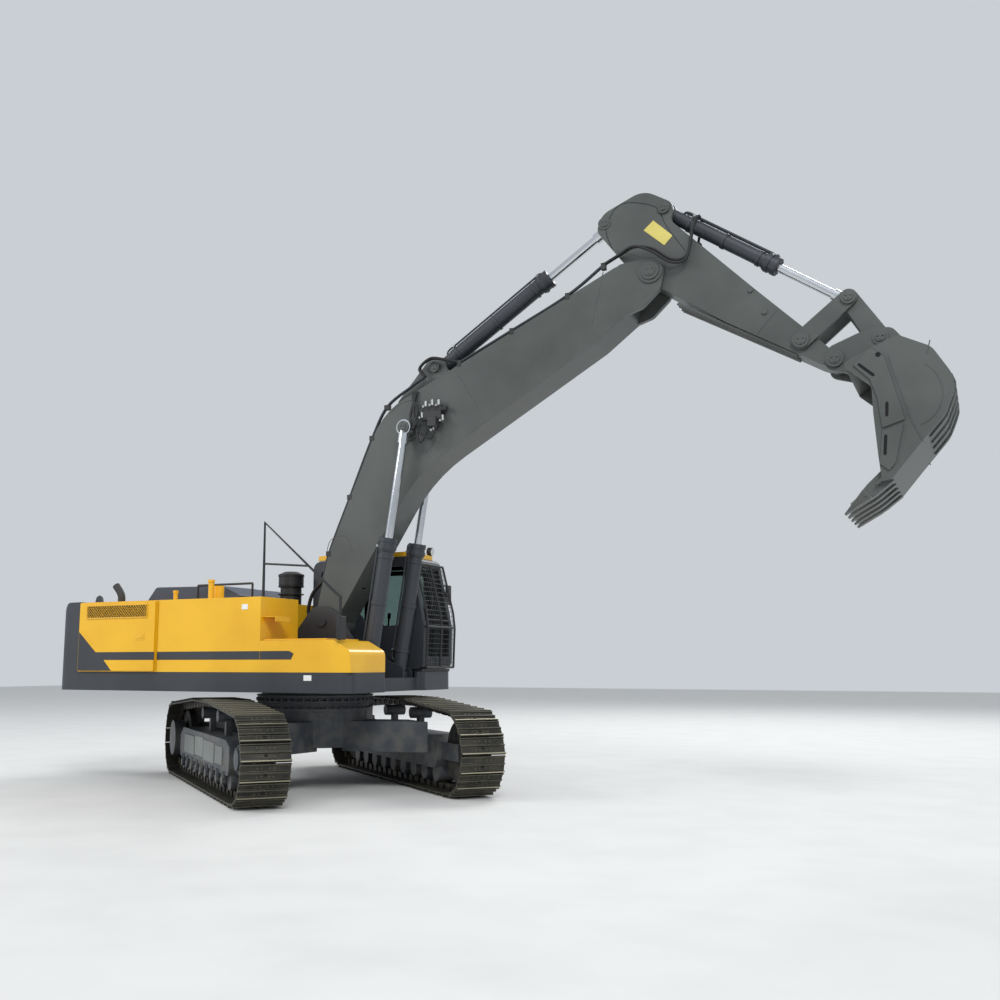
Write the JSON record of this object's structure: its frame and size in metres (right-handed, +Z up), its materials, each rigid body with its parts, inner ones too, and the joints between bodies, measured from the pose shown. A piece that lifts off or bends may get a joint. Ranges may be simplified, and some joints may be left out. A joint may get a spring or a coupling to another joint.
{
  "type": "crawler excavator",
  "caption": "Crawler excavator with a slewing upper structure, cab, knee-bent boom, short arm and toothed digging bucket on two steel tracks.",
  "frame": {"origin": "on the ground plane under the middle of the whole machine, boom and bucket included; the slew axis stands 2.40 m behind it on the X axis", "axes": "+X forward along the boom, +Y to the machine's left (cab side), +Z up"},
  "size_m": [12.126, 6.055, 7.6843],
  "materials": {
    "yellow_paint": "satin paint",
    "boom_paint": "satin paint",
    "charcoal_paint": "satin paint",
    "hood_paint": "satin paint",
    "black_paint": "satin paint",
    "track_steel": "worn rolled steel",
    "frame_paint": "satin paint",
    "cast_iron": "rough cast",
    "chrome": "polished hard chrome",
    "seat_cloth": "woven cloth",
    "black_plastic": "fine grain"
  },
  "bodies": {
    "undercarriage": {"car_body": "frame_paint", "swing_bearing": "frame_paint", "left_track": "track_steel", "right_track": "track_steel", "left_track_frame": "frame_paint", "right_track_frame": "frame_paint", "left_idler": "cast_iron", "right_idler": "cast_iron", "left_sprocket": "cast_iron", "right_sprocket": "cast_iron"},
    "upper_structure": {"upper_deck": "charcoal_paint", "counterweight": "charcoal_paint", "machine_house": "yellow_paint", "engine_block": "cast_iron", "fuel_tank": "yellow_paint", "filler_neck": "yellow_paint", "pre_cleaner": "black_plastic", "toolbox": "yellow_paint", "right_handrail": "black_paint", "cab_shell": "charcoal_paint", "cab_base": "black_paint", "cab_roof_panel": "yellow_paint", "seat_pedestal": "black_plastic", "seat_cushion": "seat_cloth", "seat_back": "seat_cloth", "right_console": "black_plastic"},
    "boom_body": {"boom": "boom_paint"},
    "arm_body": {"arm": "boom_paint"},
    "lever_body": {"tipping_lever": "boom_paint"},
    "link_body": {"bucket_link": "boom_paint"},
    "bucket_body": {"bucket": "boom_paint"},
    "cab_door_body": {"cab_door": "charcoal_paint"},
    "hood_body": {"engine_hood": "hood_paint"},
    "right_rear_door_body": {"right_rear_door": "yellow_paint"},
    "left_rear_door_body": {"left_rear_door": "yellow_paint"},
    "left_front_door_body": {"left_front_door": "yellow_paint"},
    "toolbox_lid_body": {"toolbox_lid": "yellow_paint"},
    "left_boom_barrel_body": {"left_boom_cylinder_barrel": "charcoal_paint"},
    "left_boom_rod_body": {"left_boom_cylinder_rod": "chrome"},
    "right_boom_barrel_body": {"right_boom_cylinder_barrel": "charcoal_paint"},
    "right_boom_rod_body": {"right_boom_cylinder_rod": "chrome"},
    "arm_barrel_body": {"arm_cylinder_barrel": "charcoal_paint"},
    "arm_rod_body": {"arm_cylinder_rod": "chrome"},
    "bucket_barrel_body": {"bucket_cylinder_barrel": "charcoal_paint"},
    "bucket_rod_body": {"bucket_cylinder_rod": "chrome"}
  },
  "joints": [
    {"name": "swing", "type": "hinge", "parent": "undercarriage", "child": "upper_structure", "pos_m": [-2.4, 0, 1.3], "axis": [0, 0, 1], "continuous": true},
    {"name": "boom_lift", "type": "hinge", "parent": "upper_structure", "child": "boom_body", "pos_m": [-2.1, 0, 2.25], "axis": [0, -1, 0], "range_deg": [-50, 8]},
    {"name": "arm_crowd", "type": "hinge", "parent": "boom_body", "child": "arm_body", "pos_m": [2.74, 0, 6.58], "axis": [0, 1, 0], "range_deg": [-40, 50]},
    {"name": "bucket_curl", "type": "hinge", "parent": "arm_body", "child": "bucket_body", "pos_m": [4.85, 0, 5.15], "axis": [0, 1, 0], "range_deg": [-50, 55]},
    {"name": "left_boom_cylinder_swing", "type": "hinge", "parent": "upper_structure", "child": "left_boom_barrel_body", "pos_m": [-1.28, 0.42, 1.5], "axis": [0, -1, 0], "range_deg": [-45.76, 7.76]},
    {"name": "left_boom_cylinder_stroke", "type": "slide", "parent": "left_boom_barrel_body", "child": "left_boom_rod_body", "axis": [0.1635, 0, 0.9866], "range_m": [-0.9223, 0.1565]},
    {"name": "right_boom_cylinder_swing", "type": "hinge", "parent": "upper_structure", "child": "right_boom_barrel_body", "pos_m": [-1.28, -0.42, 1.5], "axis": [0, -1, 0], "range_deg": [-45.76, 7.76]},
    {"name": "right_boom_cylinder_stroke", "type": "slide", "parent": "right_boom_barrel_body", "child": "right_boom_rod_body", "axis": [0.1635, 0, 0.9866], "range_m": [-0.9223, 0.1565]},
    {"name": "arm_cylinder_swing", "type": "hinge", "parent": "boom_body", "child": "arm_barrel_body", "pos_m": [-0.38, 0, 5.76], "axis": [0, 1, 0], "range_deg": [-0.2377, 0.191]},
    {"name": "arm_cylinder_stroke", "type": "slide", "parent": "arm_barrel_body", "child": "arm_rod_body", "axis": [0.8417, 0, 0.5399], "range_m": [-0.6684, 0.8318]},
    {"name": "lever_swing", "type": "hinge", "parent": "arm_body", "child": "lever_body", "pos_m": [4.49, 0, 5.43], "axis": [0, 1, 0], "range_deg": [-37.52, 41.2]},
    {"name": "link_swing", "type": "hinge", "parent": "lever_body", "child": "link_body", "pos_m": [5.04, 0, 5.87], "axis": [0, 1, 0], "range_deg": [-24.63, 22.43]},
    {"name": "bucket_cylinder_swing", "type": "hinge", "parent": "arm_body", "child": "bucket_barrel_body", "pos_m": [2.92, 0, 7.42], "axis": [0, 1, 0], "range_deg": [-2.3, 2.53]},
    {"name": "bucket_cylinder_stroke", "type": "slide", "parent": "bucket_barrel_body", "child": "bucket_rod_body", "axis": [0.8073, 0, -0.5902], "range_m": [-0.4269, 0.4688]},
    {"name": "cab_door_swing", "type": "hinge", "parent": "upper_structure", "child": "cab_door_body", "pos_m": [-2.379, 1.51, 1.6], "axis": [0, 0, 1], "range_deg": [0, 110]},
    {"name": "right_rear_door_swing", "type": "hinge", "parent": "upper_structure", "child": "right_rear_door_body", "pos_m": [-5.5, -1.528, 1.572], "axis": [0, 0, -1], "range_deg": [0, 110]},
    {"name": "left_rear_door_swing", "type": "hinge", "parent": "upper_structure", "child": "left_rear_door_body", "pos_m": [-5.5, 1.528, 1.572], "axis": [0, 0, 1], "range_deg": [0, 110]},
    {"name": "left_front_door_swing", "type": "hinge", "parent": "upper_structure", "child": "left_front_door_body", "pos_m": [-2.97, 1.528, 1.572], "axis": [0, 0, -1], "range_deg": [0, 85]},
    {"name": "engine_hood_lift", "type": "hinge", "parent": "upper_structure", "child": "hood_body", "pos_m": [-5.06, 0.1, 2.562], "axis": [0, -1, 0], "range_deg": [0, 60]},
    {"name": "toolbox_lid_lift", "type": "hinge", "parent": "upper_structure", "child": "toolbox_lid_body", "pos_m": [-1.7997, -0.66, 1.992], "axis": [-1, 0, 0], "range_deg": [0, 80]}
  ],
  "couplings": [
    {"joint": "left_boom_cylinder_swing", "follows": "boom_lift", "ratio": 0.90463},
    {"joint": "left_boom_cylinder_stroke", "follows": "boom_lift", "m_per_rad": 1.0448},
    {"joint": "right_boom_cylinder_swing", "follows": "boom_lift", "ratio": 0.90463},
    {"joint": "right_boom_cylinder_stroke", "follows": "boom_lift", "m_per_rad": 1.0448},
    {"joint": "arm_cylinder_swing", "follows": "arm_crowd", "ratio": -0.004669},
    {"joint": "arm_cylinder_stroke", "follows": "arm_crowd", "m_per_rad": 0.93637},
    {"joint": "lever_swing", "follows": "bucket_curl", "ratio": 0.73503},
    {"joint": "link_swing", "follows": "bucket_curl", "ratio": -0.43937},
    {"joint": "bucket_cylinder_swing", "follows": "bucket_curl", "ratio": 0.045104},
    {"joint": "bucket_cylinder_stroke", "follows": "bucket_curl", "m_per_rad": 0.47917}
  ]
}
